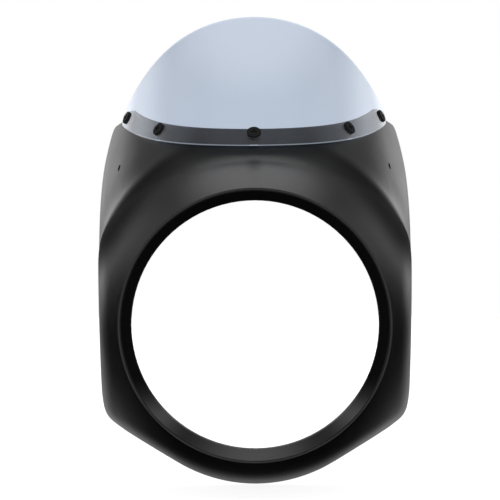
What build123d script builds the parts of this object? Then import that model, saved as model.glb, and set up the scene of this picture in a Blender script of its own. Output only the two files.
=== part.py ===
"""Headlight cowl: a moulded shell for a round lamp, with a clear windscreen on five screws.

Millimetres. +Z is up, the cowl faces -Y, and the origin is the middle of the lamp bore.
"Depth" is the distance behind the front rim, measured along +Y.
"""

import math
import os

from build123d import *

# Lamp tunnel
BORE_RADIUS = 89.0
BORE_LENGTH = 8.0
LEAD_IN_LENGTH = 20.0
LEAD_IN_STEP = 5.2
RIM_LAND = 1.6

# Cowl skin
WALL = 3.0
NACELLE_LENGTH = 54.6
NACELLE_FLARE = 0.6
NACELLE_BOW_RADIUS = 266.0
DOME_WIDTH_BEND = 166.0
DOME_SIDE_BEND = 177.0
DOME_HEIGHT_BEND = 366.0
CHEEK_MARGIN = 13.6
CHEEK_FLARE = 0.131
CHEEK_BOW_RADIUS = 2350.0
CHEEK_BOW_HEIGHT = 60.0
KEEL_MARGIN = 32.3
KEEL_FLARE = 0.165
KEEL_RISE = 0.595
KEEL_ROUND = 114.0
CORNER_BLEND = 5.0
TURN_BLEND = 8.0
VALLEY_BLEND = 12.0

# Trimmed edges of the cowl, seen from the side
TOP_EDGE_STEP = 22.9
TOP_EDGE_LEAN = 12.0
TOP_EDGE_RADIUS = 950.0
EAR_MARGIN = 11.0
EAR_SLOPE_LENGTH = 11.0
EAR_SLOPE_DROP = 6.8
EAR_ROUND = 5.0
SHOULDER_LENGTH = 32.0
SHOULDER_DROP = 1.8
SHOULDER_ROUND = 7.0
REAR_MID_DEPTH = 203.0
REAR_MID_HEIGHT = 50.0
REAR_LOW_DEPTH = 112.0
REAR_LOW_HEIGHT = -75.0
REAR_LOW_ROUND = 18.0
REAR_KEEL_DEPTH = 70.0
REAR_KEEL_HEIGHT = -131.0

# Windscreen
SCREEN_THICKNESS = 2.0
SCREEN_OVERLAP = 10.6
SCREEN_REAR_MARGIN = 12.0
SCREEN_CORNER_ROUND = 20.0

# Screws, well nuts and inserts
SCREW_OFFSETS = (0.0, 72.35, 103.9)
SCREW_EDGE_DROPS = (5.0, 5.3, 5.5)
SCREW_RADIUS = 2.5
SCREW_LENGTH = 16.0
HEAD_RADIUS = 5.4
HEAD_THICKNESS = 1.6
HEAD_ROUND = 0.5
RECESS_WIDTH = 1.1
RECESS_LENGTH = 5.0
RECESS_DEPTH = 1.0
NUT_FLANGE_RADIUS = 5.3
NUT_FLANGE_THICKNESS = 2.8
NUT_SLEEVE_RADIUS = 4.1
NUT_SLEEVE_LENGTH = 13.0
INSERT_RADIUS = 3.2
INSERT_LENGTH = 6.0
SEAT_DEPTH = 0.15
HOLE_CLEARANCE = 0.15
SHANK_CLEARANCE = 0.25
THREAD_CLEARANCE = 0.05

# Mounting holes in the cheeks
MOUNT_HOLE_RADIUS = 2.7
MOUNT_HOLE_MARGIN = 17.5
MOUNT_HOLE_DROP = 18.4

# Sections that the skins are drawn through
SKIN_POINTS = 120
FRONT_SECTIONS = 12
FRONT_SECTION_STEP = 8.0
REAR_SECTION_STEP = 12.0
SCREEN_SECTION_STEP = 24.0
REACH = 400.0

# Sizes that follow from those above
TUNNEL_LENGTH = LEAD_IN_LENGTH + BORE_LENGTH
ORIGIN_DEPTH = LEAD_IN_LENGTH + BORE_LENGTH / 2
LEAD_IN_RADIUS = BORE_RADIUS + LEAD_IN_STEP
RIM_RADIUS = LEAD_IN_RADIUS + RIM_LAND
RIM_ROUND = 0.4 * RIM_LAND
VALLEY_HEIGHT = RIM_RADIUS + NACELLE_FLARE * NACELLE_LENGTH - NACELLE_LENGTH**2 / (2 * NACELLE_BOW_RADIUS)
DOME_START = NACELLE_LENGTH - VALLEY_HEIGHT**2 / DOME_HEIGHT_BEND
CHEEK_HALF_WIDTH = RIM_RADIUS + CHEEK_MARGIN
KEEL_DEPTH = RIM_RADIUS + KEEL_MARGIN
TOP_EDGE_HEIGHT = VALLEY_HEIGHT + TOP_EDGE_STEP
TOP_EDGE_DEPTH = DOME_START + TOP_EDGE_HEIGHT**2 / DOME_HEIGHT_BEND
MOUNT_HOLE_OFFSET = RIM_RADIUS + MOUNT_HOLE_MARGIN
MOUNT_HOLE_HEIGHT = TOP_EDGE_HEIGHT - MOUNT_HOLE_DROP
SCREEN_SEAT = NUT_FLANGE_THICKNESS
HEAD_SEAT = NUT_FLANGE_THICKNESS + SCREEN_THICKNESS - SEAT_DEPTH


def smooth_min(first, second, blend):
    """The smaller of two radii, rounded where they cross."""
    overlap = max(blend - abs(first - second), 0.0)
    return min(first, second) - overlap * overlap / (4 * blend)


def smooth_max(first, second, blend):
    return -smooth_min(-first, -second, blend)


def dome_depth(across, height):
    """Depth of the dome that carries the windscreen, which bends more sharply to the sides."""
    bend = across**2 / DOME_WIDTH_BEND + across**4 / DOME_SIDE_BEND**3
    return DOME_START + bend + height**2 / DOME_HEIGHT_BEND


def dome_radius(angle, depth):
    """Distance from the lamp axis at which the dome reaches a depth."""
    behind = max(depth - DOME_START, 0.0)
    square = math.cos(angle) ** 2 / DOME_WIDTH_BEND + math.sin(angle) ** 2 / DOME_HEIGHT_BEND
    fourth = math.cos(angle) ** 4 / DOME_SIDE_BEND**3
    return math.sqrt(2 * behind / (square + math.sqrt(square**2 + 4 * fourth * behind)))


def nacelle_radius(depth):
    """Bowl round the lamp that flares less and less to the rear."""
    bowed_depth = min(depth, NACELLE_FLARE * NACELLE_BOW_RADIUS)
    return RIM_RADIUS + NACELLE_FLARE * bowed_depth - bowed_depth**2 / (2 * NACELLE_BOW_RADIUS)


def cheek_radius(angle, depth):
    """Slightly bowed side walls that widen to the rear."""
    half_width = CHEEK_HALF_WIDTH + CHEEK_FLARE * depth - CHEEK_BOW_HEIGHT**2 / (2 * CHEEK_BOW_RADIUS)
    linear = abs(math.cos(angle)) - math.sin(angle) * CHEEK_BOW_HEIGHT / CHEEK_BOW_RADIUS
    square = math.sin(angle) ** 2 / (2 * CHEEK_BOW_RADIUS)
    return 2 * half_width / (linear + math.sqrt(linear**2 + 4 * square * half_width))


def keel_radius(angle, depth):
    """V-shaped keel: two sloping flats that run into a round bottom."""
    down = -math.sin(angle)
    aside = abs(math.cos(angle))
    slope = math.atan(KEEL_RISE)
    vertex = KEEL_DEPTH + KEEL_FLARE * depth
    centre = vertex - KEEL_ROUND / math.cos(slope)
    if aside * (centre + KEEL_ROUND * math.cos(slope)) < down * KEEL_ROUND * math.sin(slope):
        return down * centre + math.sqrt(KEEL_ROUND**2 - (aside * centre) ** 2)
    return vertex / max(KEEL_RISE * aside + down, vertex / REACH)


def cowl_radius(angle, depth):
    """Outer skin: a flared nacelle under a dome, held between cheeks and keel."""
    sides = smooth_min(cheek_radius(angle, depth), keel_radius(angle, depth), CORNER_BLEND)
    front = smooth_max(nacelle_radius(depth), dome_radius(angle, depth), VALLEY_BLEND)
    return smooth_min(front, sides, TURN_BLEND)


def offset_radius(skin, angle, depth, offset):
    """Radius of a skin moved outward along its normal."""
    ahead = 0.2
    turn = 0.02
    radius = skin(angle, depth)
    along = (skin(angle, depth + ahead) - radius) / ahead
    around = (skin(angle + turn, depth) - skin(angle - turn, depth)) / (2 * turn * radius)
    return radius + offset * math.sqrt(1 + along**2 + around**2)


def skin_solid(skin, depths, offset):
    """Closed body inside a skin, drawn through sections across the depth."""
    sections = []
    for depth in depths:
        points = []
        for index in range(SKIN_POINTS):
            angle = 2 * math.pi * index / SKIN_POINTS - math.pi / 2
            radius = offset_radius(skin, angle, depth, offset)
            points.append((radius * math.cos(angle), depth - ORIGIN_DEPTH, radius * math.sin(angle)))
        parameters = [float(index) for index in range(SKIN_POINTS + 1)]
        sections.append(Wire([Edge.make_spline(points, periodic=True, parameters=parameters)]))
    return Solid.make_loft(sections)


def side_point(depth, height):
    return (depth - ORIGIN_DEPTH, height)


def side_prism(outline):
    """Side-view outline, drawn as depth and height, carried right across the cowl."""
    return extrude(Plane.YZ * outline, REACH, both=True)


def top_edge_centre():
    lean = math.radians(TOP_EDGE_LEAN)
    depth = TOP_EDGE_DEPTH - TOP_EDGE_RADIUS * math.sin(lean)
    height = TOP_EDGE_HEIGHT + TOP_EDGE_RADIUS * math.cos(lean)
    return depth, height


def top_edge_height(depth):
    centre_depth, centre_height = top_edge_centre()
    return centre_height - math.sqrt(TOP_EDGE_RADIUS**2 - (depth - centre_depth) ** 2)


def arc_along_top(first_depth, last_depth, drop):
    """Three points of the curved top edge, moved down by a drop."""
    middle_depth = (first_depth + last_depth) / 2
    return [side_point(depth, top_edge_height(depth) - drop) for depth in (first_depth, middle_depth, last_depth)]


def round_corner(outline, depth, height, radius):
    corner = Vector(*side_point(depth, height))
    vertex = min(outline.vertices(), key=lambda v: (Vector(v.X, v.Y) - corner).length)
    return fillet(vertex, radius)


def tunnel_profile(offset, length):
    """Half section of the lamp tunnel, moved outward by a wall."""
    front = LEAD_IN_RADIUS + offset
    back = BORE_RADIUS + offset
    points = [
        (0, -ORIGIN_DEPTH),
        (front, -ORIGIN_DEPTH),
        (back, LEAD_IN_LENGTH - ORIGIN_DEPTH),
        (back, length - ORIGIN_DEPTH),
        (0, length - ORIGIN_DEPTH),
    ]
    return make_face(Polyline(*points, close=True))


def tunnel_solid(offset, length):
    return revolve(tunnel_profile(offset, length), Axis.Y)


def dome_point(across, height):
    return Vector(across, dome_depth(across, height) - ORIGIN_DEPTH, height)


def dome_plane(across, height):
    """Plane that touches the dome, with its normal outward."""
    slope_across = 2 * across / DOME_WIDTH_BEND + 4 * (across / DOME_SIDE_BEND) ** 3
    normal = Vector(slope_across, -1, 2 * height / DOME_HEIGHT_BEND)
    return Plane(origin=dome_point(across, height), x_dir=normal.cross(Vector(0, 0, 1)), z_dir=normal)


def screw_seat(offset, drop):
    """Depth and height of the place on the dome that is a drop below the top edge."""
    height = TOP_EDGE_HEIGHT - drop
    for _ in range(40):
        depth = dome_depth(offset, height)
        height = top_edge_height(depth) - drop
    return depth, height


def screw_planes():
    """Seats of the five fasteners along the top edge."""
    planes = []
    for offset, drop in zip(SCREW_OFFSETS, SCREW_EDGE_DROPS):
        height = screw_seat(offset, drop)[1]
        sides = (1,) if offset == 0 else (1, -1)
        planes += [dome_plane(side * offset, height).offset(-SEAT_DEPTH) for side in sides]
    return planes


def disc(radius, bottom, top):
    """Round bar along +Z between two heights."""
    return Pos(0, 0, (bottom + top) / 2) * Cylinder(radius, top - bottom)


def rear_top_corners():
    """Ear behind the last screw, the foot of its slope and the shoulder, as depth and height."""
    ear_depth = screw_seat(SCREW_OFFSETS[-1], SCREW_EDGE_DROPS[-1])[0] + EAR_MARGIN
    ear = (ear_depth, top_edge_height(ear_depth))
    foot = (ear[0] + EAR_SLOPE_LENGTH, ear[1] - EAR_SLOPE_DROP)
    shoulder = (foot[0] + SHOULDER_LENGTH, foot[1] - SHOULDER_DROP)
    return ear, foot, shoulder


def cowl_depths():
    """Depths of the cowl's sections, closer in front, that reach past the shoulder."""
    shoulder_depth = rear_top_corners()[2][0]
    front_end = FRONT_SECTIONS * FRONT_SECTION_STEP
    rear_sections = math.ceil((shoulder_depth - front_end) / REAR_SECTION_STEP) + 1
    front = [index * FRONT_SECTION_STEP for index in range(FRONT_SECTIONS)]
    return front + [front_end + index * REAR_SECTION_STEP for index in range(rear_sections)]


def screen_rear_depth():
    return screw_seat(SCREW_OFFSETS[-1], SCREW_EDGE_DROPS[-1])[0] + SCREEN_REAR_MARGIN


def screen_depths():
    """Depths of the screen's sections, from the dome's tip to past the rear edge."""
    sections = math.ceil((screen_rear_depth() - DOME_START) / SCREEN_SECTION_STEP) + 1
    return [DOME_START + index * SCREEN_SECTION_STEP for index in range(1, sections + 1)]


def cowl_outline():
    """Side view of the cowl: top edge, ear, shoulder, a rear edge that sweeps forward, and keel."""
    ear, foot, shoulder = rear_top_corners()
    rear_low = (REAR_LOW_DEPTH, REAR_LOW_HEIGHT)
    top = ThreePointArc(*arc_along_top(-LEAD_IN_LENGTH, ear[0], 0))
    ledge = Polyline(top @ 1, side_point(*foot), side_point(*shoulder))
    rear = ThreePointArc(ledge @ 1, side_point(REAR_MID_DEPTH, REAR_MID_HEIGHT), side_point(*rear_low))
    under = Polyline(rear @ 1, side_point(REAR_KEEL_DEPTH, REAR_KEEL_HEIGHT), side_point(REAR_KEEL_DEPTH, -REACH))
    front = Polyline(under @ 1, side_point(-LEAD_IN_LENGTH, -REACH), top @ 0)
    outline = make_face(top + ledge + rear + under + front)
    rounds = (EAR_ROUND, EAR_ROUND, SHOULDER_ROUND, REAR_LOW_ROUND)
    for corner, radius in zip((ear, foot, shoulder, rear_low), rounds):
        outline = round_corner(outline, *corner, radius)
    return outline


def screen_outline():
    """Side view of the screen: a lower edge that follows the cowl's and an upright rear edge."""
    rear_depth = screen_rear_depth()
    low = ThreePointArc(*arc_along_top(0, rear_depth, SCREEN_OVERLAP))
    back = Polyline(low @ 1, side_point(rear_depth, REACH), side_point(0, REACH), low @ 0)
    corner_height = top_edge_height(rear_depth) - SCREEN_OVERLAP
    return round_corner(make_face(low + back), rear_depth, corner_height, SCREEN_CORNER_ROUND)


def make_cowl():
    depths = cowl_depths()
    outer = skin_solid(cowl_radius, depths, 0)
    inner = skin_solid(cowl_radius, depths, -WALL)
    hollow = inner - tunnel_solid(WALL, TUNNEL_LENGTH)
    shell = outer - tunnel_solid(0, TUNNEL_LENGTH) - hollow
    shell = fillet(shell.edges().filter_by_position(Axis.Y, -ORIGIN_DEPTH, -ORIGIN_DEPTH), RIM_ROUND)
    shell = shell & side_prism(cowl_outline())
    for plane in screw_planes():
        seat = disc(NUT_FLANGE_RADIUS + HOLE_CLEARANCE, 0, NUT_FLANGE_THICKNESS)
        hole = disc(NUT_SLEEVE_RADIUS + HOLE_CLEARANCE, -3 * WALL, NUT_FLANGE_THICKNESS)
        shell = shell - plane * seat - plane * hole
    for side in (1, -1):
        plane = dome_plane(side * MOUNT_HOLE_OFFSET, MOUNT_HOLE_HEIGHT)
        shell = shell - plane * disc(MOUNT_HOLE_RADIUS, -3 * WALL, 3 * WALL)
    return shell


def make_screen():
    inside = NUT_FLANGE_THICKNESS - SEAT_DEPTH
    depths = screen_depths()
    outer = skin_solid(dome_radius, depths, inside + SCREEN_THICKNESS)
    inner = skin_solid(dome_radius, depths, inside)
    screen = (outer - inner) & side_prism(screen_outline())
    for plane in screw_planes():
        seat = disc(NUT_FLANGE_RADIUS + HOLE_CLEARANCE, 0, SCREEN_SEAT)
        head_seat = disc(HEAD_RADIUS + HOLE_CLEARANCE, HEAD_SEAT, HEAD_SEAT + HEAD_THICKNESS)
        hole = disc(SCREW_RADIUS + SHANK_CLEARANCE, 0, HEAD_SEAT + HEAD_THICKNESS)
        screen = screen - plane * seat - plane * head_seat - plane * hole
    return screen


def make_screw():
    head = disc(HEAD_RADIUS, HEAD_SEAT, HEAD_SEAT + HEAD_THICKNESS)
    head = fillet(head.edges().group_by(Axis.Z)[-1], HEAD_ROUND)
    for turn in (0, 90):
        slot = Box(RECESS_LENGTH, RECESS_WIDTH, 2 * RECESS_DEPTH)
        head = head - Pos(0, 0, HEAD_SEAT + HEAD_THICKNESS) * Rot(0, 0, turn) * slot
    return head + disc(SCREW_RADIUS, HEAD_SEAT - SCREW_LENGTH, HEAD_SEAT)


def make_well_nut():
    body = disc(NUT_FLANGE_RADIUS, 0, NUT_FLANGE_THICKNESS) + disc(NUT_SLEEVE_RADIUS, -NUT_SLEEVE_LENGTH, 0)
    body = body - disc(SCREW_RADIUS + SHANK_CLEARANCE, -NUT_SLEEVE_LENGTH, NUT_FLANGE_THICKNESS)
    return body - disc(INSERT_RADIUS, -NUT_SLEEVE_LENGTH, INSERT_LENGTH - NUT_SLEEVE_LENGTH)


def make_insert():
    ring = disc(INSERT_RADIUS, -NUT_SLEEVE_LENGTH, INSERT_LENGTH - NUT_SLEEVE_LENGTH)
    return ring - disc(SCREW_RADIUS + THREAD_CLEARANCE, -NUT_SLEEVE_LENGTH, INSERT_LENGTH - NUT_SLEEVE_LENGTH)


def at_every_screw(piece):
    return Compound(children=[plane * piece for plane in screw_planes()])


nodes = {
    "cowl_shell": make_cowl(),
    "windscreen": make_screen(),
    "screen_screws": at_every_screw(make_screw()),
    "well_nuts": at_every_screw(make_well_nut()),
    "well_nut_inserts": at_every_screw(make_insert()),
}

os.makedirs("parts", exist_ok=True)
for name, solid in nodes.items():
    export_step(solid, f"parts/{name}.step")
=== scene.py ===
import math

import bpy
from mathutils import Matrix, Vector

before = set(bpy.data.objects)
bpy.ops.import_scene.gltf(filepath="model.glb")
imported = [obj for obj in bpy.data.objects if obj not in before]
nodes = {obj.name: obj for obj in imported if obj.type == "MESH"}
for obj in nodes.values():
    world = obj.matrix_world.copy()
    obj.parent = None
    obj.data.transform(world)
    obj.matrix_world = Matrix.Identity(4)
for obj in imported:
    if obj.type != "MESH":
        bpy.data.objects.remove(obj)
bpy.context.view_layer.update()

# Camera: picture and focal length in pixels, sensor in millimetres, place in metres, turns in degrees
IMAGE_PIXELS = 500
FOCAL_PIXELS = 1196.8
SENSOR_WIDTH = 36.0
CAMERA_PLACE = (0.00097, -0.85869, 0.02333)
CAMERA_PITCH = 1.984
CAMERA_YAW = -0.285
CAMERA_ROLL = -0.35

# Soft lights in the middle: direction, full and outer angle in degrees, strength
MIDDLE_LIGHTS = (
    ((0.0, 0.53, 0.85), 8.0, 30.0, 1.15),
    ((0.0, -0.15, 1.0), 10.0, 45.0, 0.48),
    ((0.0, 0.98, -0.16), 12.0, 30.0, 0.50),
    ((0.0, -1.0, -0.10), 10.0, 45.0, 0.90),
    ((0.0, -0.35, -0.94), 8.0, 34.0, 0.45),
)

# Soft lights on the right, in the same form, each with its mirror image on the left
SIDE_LIGHTS = (
    ((0.46, 0.86, 0.21), 5.0, 15.0, 1.30),
    ((0.70, 0.38, 0.61), 8.0, 27.0, 0.42),
    ((0.40, 0.88, -0.24), 5.0, 16.0, 0.32),
    ((0.95, -0.30, 0.10), 10.0, 42.0, 0.70),
)

# Light that comes from every direction
ROOM_GLOW = 0.006

# Room that the clear screen mirrors: brightness of walls and ceiling, and share of the soft lights
ROOM_WALLS = 1.25
ROOM_CEILING = 0.34
MIRRORED_LIGHT = 0.6

# Upward part of a unit direction at which that room's walls end and its ceiling starts
WALL_TOP = 0.40
CEILING_START = 0.68

# Backdrop: its brightness, and the ray depth, less passages through the screen, up to which it is seen
BACKDROP_GLOW = 1.0
STRAIGHT_LIMIT = 1.5

# Floor: height and half width in metres, and its own brightness
FLOOR_HEIGHT = -0.1226
FLOOR_HALF_WIDTH = 6.0
FLOOR_GLOW = 0.88

# Lamp tunnel, in metres: radius and blend, and the heights between which its gloss fades out into painted
# shade higher up
TUNNEL_RADIUS = 0.0945
TUNNEL_BLEND = 0.001
TUNNEL_GLOSS_HEIGHT = -0.070
TUNNEL_PAINTED_SHADE_HEIGHT = -0.035

# Hollows beside the lamp ring, where the gloss is cut for painted shade, in metres: radius from the lamp
# axis, reach about it, heights and sides
HOLLOW_RADIUS = 0.135
HOLLOW_HALF_WIDTH = 0.004
HOLLOW_INNER_REACH = 0.032
HOLLOW_OUTER_REACH = 0.014
HOLLOW_HEIGHTS = (0.025, 0.065)
HOLLOW_SIDES = (0.020, 0.100)

# Gloss that the hollows lose as painted shade, and the cowl's finish from painted shade to satin, with what
# its patterns add
HOLLOW_PAINTED_SHADE = 0.85
ROUGHNESS_PAINTED_SHADE_TO_SATIN = (0.80, 0.25)
SPECULAR_PAINTED_SHADE_TO_SATIN = (0.04, 0.5)
CLOUD_ROUGHNESS = 0.10
GRAIN_ROUGHNESS = 0.06

# Bends of the windscreen's dome, in metres
DOME_WIDTH_BEND = 0.166
DOME_SIDE_BEND = 0.177
DOME_HEIGHT_BEND = 0.366

# Sawn edge of the windscreen: its painted glow, which stands in for light caught in the sheet, and the
# limits by which the normal tells the edge and its rear
PAINTED_EDGE_GLOW = 0.36
EDGE_LIMIT = 0.92
REAR_EDGE_LIMIT = 0.5

# Part of a noise pattern's range that is spread over a finish's own range
NOISE_RANGE = (0.3, 0.7)

# Samples that make an edge look rounded, and plain white
BEVEL_SAMPLES = 6
WHITE = (1.0, 1.0, 1.0, 1.0)


def add_node(tree, kind, **settings):
    node = tree.nodes.new(kind)
    for name, value in settings.items():
        setattr(node, name, value)
    return node


def feed(tree, target, value):
    """Links a socket to another, or sets a constant on it."""
    if isinstance(value, bpy.types.NodeSocket):
        tree.links.new(value, target)
    else:
        target.default_value = value


def math_node(tree, operation, first, second=0.0):
    node = add_node(tree, "ShaderNodeMath", operation=operation)
    feed(tree, node.inputs[0], first)
    feed(tree, node.inputs[1], second)
    return node.outputs[0]


def vector_node(tree, operation, first, second=(0.0, 0.0, 0.0)):
    node = add_node(tree, "ShaderNodeVectorMath", operation=operation)
    feed(tree, node.inputs[0], first)
    feed(tree, node.inputs[1], second)
    return node.outputs["Value" if operation in ("LENGTH", "DOT_PRODUCT") else "Vector"]


def split_vector(tree, vector):
    """The X, Y and Z of a vector."""
    node = add_node(tree, "ShaderNodeSeparateXYZ")
    feed(tree, node.inputs[0], vector)
    return node.outputs["X"], node.outputs["Y"], node.outputs["Z"]


def map_range(tree, value, low, high, new_low, new_high, smooth=False):
    kind = "SMOOTHSTEP" if smooth else "LINEAR"
    node = add_node(tree, "ShaderNodeMapRange", interpolation_type=kind)
    for index, item in enumerate((value, low, high, new_low, new_high)):
        feed(tree, node.inputs[index], item)
    return node.outputs[0]


def noise(tree, place, scale, detail=3.0, roughness=0.55):
    node = add_node(tree, "ShaderNodeTexNoise")
    feed(tree, node.inputs["Vector"], place)
    feed(tree, node.inputs["Scale"], scale)
    feed(tree, node.inputs["Detail"], detail)
    feed(tree, node.inputs["Roughness"], roughness)
    return node.outputs[0]


def mix_value(tree, share, first, second):
    node = add_node(tree, "ShaderNodeMix", data_type="FLOAT")
    feed(tree, node.inputs[0], share)
    feed(tree, node.inputs[2], first)
    feed(tree, node.inputs[3], second)
    return node.outputs[0]


def mix_colour(tree, share, first, second):
    """Mixes two colours, each given as three numbers or as a socket."""
    node = add_node(tree, "ShaderNodeMix", data_type="RGBA")
    feed(tree, node.inputs[0], share)
    for index, colour in ((6, first), (7, second)):
        feed(tree, node.inputs[index], (*colour, 1.0) if isinstance(colour, tuple) else colour)
    return node.outputs[2]


def start_material(name):
    """A material with its tree, its Principled shader and the place on the object in metres."""
    material = bpy.data.materials.new(name)
    material.use_nodes = True
    tree = material.node_tree
    shader = tree.nodes["Principled BSDF"]
    place = add_node(tree, "ShaderNodeTexCoord").outputs["Object"]
    return material, tree, shader, place


def cloudy_colour(tree, shader, cloud, dark, light):
    """Base colour that drifts between two tones."""
    feed(tree, shader.inputs["Base Color"], mix_colour(tree, cloud, dark, light))


def uneven_roughness(tree, shader, pattern, low, high):
    """Roughness that follows a noise pattern."""
    feed(tree, shader.inputs["Roughness"], map_range(tree, pattern, *NOISE_RANGE, low, high))


def raised_grain(tree, shader, grain, strength, depth, edge_radius=None):
    """Grain that stands out by a depth in metres, with edges that look rounded where a radius is given."""
    node = add_node(tree, "ShaderNodeBump")
    feed(tree, node.inputs["Strength"], strength)
    feed(tree, node.inputs["Distance"], depth)
    feed(tree, node.inputs["Height"], grain)
    if edge_radius is not None:
        bevel = add_node(tree, "ShaderNodeBevel", samples=BEVEL_SAMPLES)
        feed(tree, bevel.inputs["Radius"], edge_radius)
        feed(tree, node.inputs["Normal"], bevel.outputs[0])
    feed(tree, shader.inputs["Normal"], node.outputs[0])


def cowl_gloss_with_painted_shade(tree, place):
    """1 on the satin skin, and less where painted shade dulls the gloss: in the upper lamp tunnel and in the
    hollows beside the lamp ring.
    """
    x, _, height = split_vector(tree, place)
    across_axis = vector_node(tree, "MULTIPLY", place, (1.0, 0.0, 1.0))
    radius = vector_node(tree, "LENGTH", across_axis)
    aside = math_node(tree, "ABSOLUTE", x)
    outside = map_range(tree, radius, TUNNEL_RADIUS - TUNNEL_BLEND, TUNNEL_RADIUS, 0.0, 1.0)
    low = map_range(tree, height, TUNNEL_GLOSS_HEIGHT, TUNNEL_PAINTED_SHADE_HEIGHT, 1.0, 0.0, smooth=True)
    free_of_painted_shade = math_node(tree, "MAXIMUM", outside, low)
    inner_start = HOLLOW_RADIUS - HOLLOW_INNER_REACH
    inner_full = HOLLOW_RADIUS - HOLLOW_HALF_WIDTH
    outer_full = HOLLOW_RADIUS + HOLLOW_HALF_WIDTH
    outer_end = HOLLOW_RADIUS + HOLLOW_OUTER_REACH
    parts = (
        map_range(tree, radius, inner_start, inner_full, 0.0, 1.0, smooth=True),
        map_range(tree, radius, outer_full, outer_end, 1.0, 0.0, smooth=True),
        map_range(tree, height, *HOLLOW_HEIGHTS, 0.0, 1.0, smooth=True),
        map_range(tree, aside, *HOLLOW_SIDES, 0.0, HOLLOW_PAINTED_SHADE, smooth=True),
    )
    hollow_painted_shade = 1.0
    for part in parts:
        hollow_painted_shade = math_node(tree, "MULTIPLY", part, hollow_painted_shade)
    return math_node(tree, "MULTIPLY", free_of_painted_shade, math_node(tree, "SUBTRACT", 1.0, hollow_painted_shade))


def cowl_plastic():
    material, tree, shader, place = start_material("satin_black_plastic")
    grain = noise(tree, place, scale=2600.0, detail=2.0)
    cloud = noise(tree, place, scale=22.0, detail=4.0)
    cloudy_colour(tree, shader, cloud, dark=(0.0032, 0.0032, 0.0036), light=(0.0058, 0.0058, 0.0062))
    coarse = math_node(tree, "MULTIPLY", cloud, CLOUD_ROUGHNESS)
    fine = math_node(tree, "MULTIPLY", grain, GRAIN_ROUGHNESS)
    # Painted shade: the gloss drops in the upper lamp tunnel and in the hollows beside the lamp ring, which
    # darkens them
    free_of_painted_shade = cowl_gloss_with_painted_shade(tree, place)
    even = map_range(tree, free_of_painted_shade, 0.0, 1.0, *ROUGHNESS_PAINTED_SHADE_TO_SATIN)
    roughness = math_node(tree, "ADD", math_node(tree, "ADD", coarse, fine), even)
    feed(tree, shader.inputs["Roughness"], roughness)
    feed(tree, shader.inputs["IOR"], 1.5)
    specular = map_range(tree, free_of_painted_shade, 0.0, 1.0, *SPECULAR_PAINTED_SHADE_TO_SATIN)
    feed(tree, shader.inputs["Specular IOR Level"], specular)
    raised_grain(tree, shader, grain, strength=0.12, depth=0.00008, edge_radius=0.0006)
    return material


def across_dome(tree, place, normal):
    """1 on the narrow faces of the sheet, which stand across its dome, and 0 on its broad faces."""
    # The dome's depth is x^2 / width bend + x^4 / side bend^3 + z^2 / height bend
    x, _, z = split_vector(tree, place)
    cube = math_node(tree, "MULTIPLY", math_node(tree, "MULTIPLY", x, x), x)
    width_slope = math_node(tree, "MULTIPLY", x, 2 / DOME_WIDTH_BEND)
    side_slope = math_node(tree, "MULTIPLY", cube, 4 / DOME_SIDE_BEND**3)
    dome = add_node(tree, "ShaderNodeCombineXYZ")
    feed(tree, dome.inputs["X"], math_node(tree, "ADD", width_slope, side_slope))
    feed(tree, dome.inputs["Y"], -1.0)
    feed(tree, dome.inputs["Z"], math_node(tree, "MULTIPLY", z, 2 / DOME_HEIGHT_BEND))
    dot = vector_node(tree, "DOT_PRODUCT", vector_node(tree, "NORMALIZE", dome.outputs[0]), normal)
    return math_node(tree, "LESS_THAN", math_node(tree, "ABSOLUTE", dot), EDGE_LIMIT)


def screen_plastic():
    """Clear sheet with a darker sawn edge, which has a painted glow where it doesn't face the rear."""
    material, tree, shader, place = start_material("clear_tinted_sheet")
    cloud = noise(tree, place, scale=9.0)
    normal = add_node(tree, "ShaderNodeTexCoord").outputs["Normal"]
    edge = across_dome(tree, place, normal)
    sheet = mix_colour(tree, cloud, (0.475, 0.546, 0.665), (0.50, 0.57, 0.685))
    feed(tree, shader.inputs["Base Color"], mix_colour(tree, edge, sheet, (0.20, 0.23, 0.28)))
    feed(tree, shader.inputs["Roughness"], 0.0)
    feed(tree, shader.inputs["IOR"], 1.49)
    feed(tree, shader.inputs["Transmission Weight"], 1.0)
    # Painted glow on the sawn edge in a noisy pale tone, standing in for light caught in the sheet
    painted_glow_noise = noise(tree, place, scale=700.0)
    painted_glow_tone = mix_colour(tree, painted_glow_noise, (0.58, 0.66, 0.74), (0.86, 0.90, 0.94))
    feed(tree, shader.inputs["Emission Color"], painted_glow_tone)
    _, rearward, _ = split_vector(tree, normal)
    ahead = math_node(tree, "LESS_THAN", rearward, REAR_EDGE_LIMIT)
    glow = math_node(tree, "MULTIPLY", math_node(tree, "MULTIPLY", edge, ahead), PAINTED_EDGE_GLOW)
    feed(tree, shader.inputs["Emission Strength"], glow)
    return material


def screw_steel():
    material, tree, shader, place = start_material("black_steel")
    grain = noise(tree, place, scale=1800.0)
    cloud = noise(tree, place, scale=260.0)
    cloudy_colour(tree, shader, cloud, dark=(0.010, 0.010, 0.011), light=(0.022, 0.022, 0.023))
    feed(tree, shader.inputs["Metallic"], 0.2)
    feed(tree, shader.inputs["Specular IOR Level"], 0.2)
    uneven_roughness(tree, shader, cloud, low=0.46, high=0.60)
    raised_grain(tree, shader, grain, strength=0.15, depth=0.00005, edge_radius=0.0002)
    return material


def nut_rubber():
    material, tree, shader, place = start_material("black_rubber")
    grain = noise(tree, place, scale=1500.0, detail=4.0)
    cloud = noise(tree, place, scale=120.0)
    cloudy_colour(tree, shader, cloud, dark=(0.006, 0.006, 0.006), light=(0.014, 0.014, 0.014))
    uneven_roughness(tree, shader, grain, low=0.62, high=0.82)
    raised_grain(tree, shader, grain, strength=0.25, depth=0.0001, edge_radius=0.0003)
    return material


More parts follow.
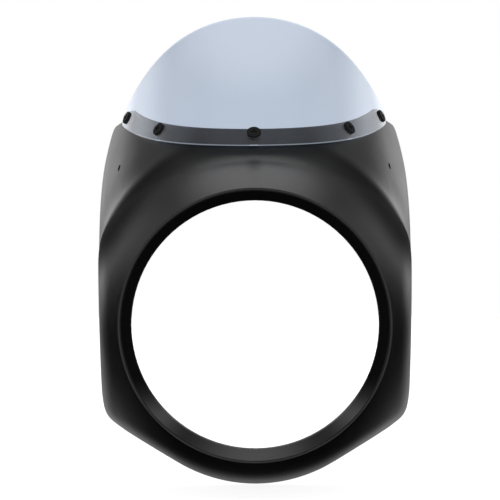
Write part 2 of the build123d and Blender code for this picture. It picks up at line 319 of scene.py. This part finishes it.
def insert_brass():
    material, tree, shader, place = start_material("turned_brass")
    grain = noise(tree, place, scale=900.0)
    cloud = noise(tree, place, scale=200.0)
    cloudy_colour(tree, shader, cloud, dark=(0.62, 0.44, 0.17), light=(0.78, 0.60, 0.29))
    feed(tree, shader.inputs["Metallic"], 1.0)
    uneven_roughness(tree, shader, grain, low=0.24, high=0.40)
    raised_grain(tree, shader, grain, strength=0.2, depth=0.00005)
    return material


def make_camera():
    """Camera at the photograph's place, turned by pitch, yaw and roll about its own axes."""
    pitch, yaw, roll = (math.radians(angle) for angle in (CAMERA_PITCH, CAMERA_YAW, CAMERA_ROLL))
    forward = Vector((math.sin(yaw) * math.cos(pitch), math.cos(yaw) * math.cos(pitch), math.sin(pitch)))
    level = Vector((math.cos(yaw), -math.sin(yaw), 0.0))
    upright = level.cross(forward)
    right = level * math.cos(roll) + upright * math.sin(roll)
    up = upright * math.cos(roll) - level * math.sin(roll)
    data = bpy.data.cameras.new("camera")
    data.sensor_width = SENSOR_WIDTH
    data.lens = SENSOR_WIDTH * FOCAL_PIXELS / IMAGE_PIXELS
    camera = bpy.data.objects.new("camera", data)
    bpy.context.scene.collection.objects.link(camera)
    turn = Matrix((right, up, -forward)).transposed().to_4x4()
    camera.matrix_world = Matrix.Translation(CAMERA_PLACE) @ turn
    bpy.context.scene.camera = camera


def soft_lights():
    """All soft lights, with the side ones on both sides."""
    lights = list(MIDDLE_LIGHTS)
    for (x, y, z), inner, outer, strength in SIDE_LIGHTS:
        for side in (-1, 1):
            lights.append(((side * x, y, z), inner, outer, strength))
    return lights


def make_world():
    """White seen straight or through the screen, a room for the screen's gloss, soft lights for the rest."""
    world = bpy.data.worlds.new("studio")
    bpy.context.scene.world = world
    world.use_nodes = True
    tree = world.node_tree
    shader = tree.nodes["Background"]
    direction = add_node(tree, "ShaderNodeTexCoord").outputs["Generated"]
    total = ROOM_GLOW
    for towards, inner, outer, strength in soft_lights():
        dot = vector_node(tree, "DOT_PRODUCT", direction, Vector(towards).normalized())
        edge = math.cos(math.radians(outer))
        full = math.cos(math.radians(inner))
        glow = map_range(tree, dot, edge, full, 0.0, strength, smooth=True)
        total = math_node(tree, "ADD", glow, total)
    _, _, upward = split_vector(tree, direction)
    room = map_range(tree, upward, WALL_TOP, CEILING_START, ROOM_WALLS, ROOM_CEILING, smooth=True)
    mirrored = math_node(tree, "ADD", room, math_node(tree, "MULTIPLY", total, MIRRORED_LIGHT))
    path = add_node(tree, "ShaderNodeLightPath")
    surroundings = mix_value(tree, path.outputs["Is Singular Ray"], total, mirrored)
    depth = math_node(tree, "SUBTRACT", path.outputs["Ray Depth"], path.outputs["Transmission Depth"])
    straight = math_node(tree, "LESS_THAN", depth, STRAIGHT_LIMIT)
    feed(tree, shader.inputs["Strength"], mix_value(tree, straight, surroundings, BACKDROP_GLOW))
    feed(tree, shader.inputs["Color"], WHITE)


def make_floor():
    """Plain white floor that takes a faint soft shadow."""
    side = FLOOR_HALF_WIDTH
    corners = [(x * side, y * side, FLOOR_HEIGHT) for x, y in ((-1, -1), (1, -1), (1, 1), (-1, 1))]
    mesh = bpy.data.meshes.new("floor")
    mesh.from_pydata(corners, [], [(0, 1, 2, 3)])
    floor = bpy.data.objects.new("floor", mesh)
    bpy.context.scene.collection.objects.link(floor)
    material, tree, shader, place = start_material("pale_floor")
    cloud = noise(tree, place, scale=3.0, detail=2.0)
    cloudy_colour(tree, shader, cloud, dark=(0.80, 0.80, 0.80), light=(0.84, 0.84, 0.84))
    feed(tree, shader.inputs["Roughness"], 0.9)
    feed(tree, shader.inputs["Emission Color"], WHITE)
    feed(tree, shader.inputs["Emission Strength"], FLOOR_GLOW)
    mesh.materials.append(material)
    floor.visible_glossy = False
    floor.visible_diffuse = False


FINISHES = {
    "cowl_shell": cowl_plastic,
    "windscreen": screen_plastic,
    "screen_screws": screw_steel,
    "well_nuts": nut_rubber,
    "well_nut_inserts": insert_brass,
}

for name, finish in FINISHES.items():
    nodes[name].material_slots[0].material = finish()
make_camera()
make_world()
make_floor()
bpy.context.scene.view_settings.view_transform = "Standard"
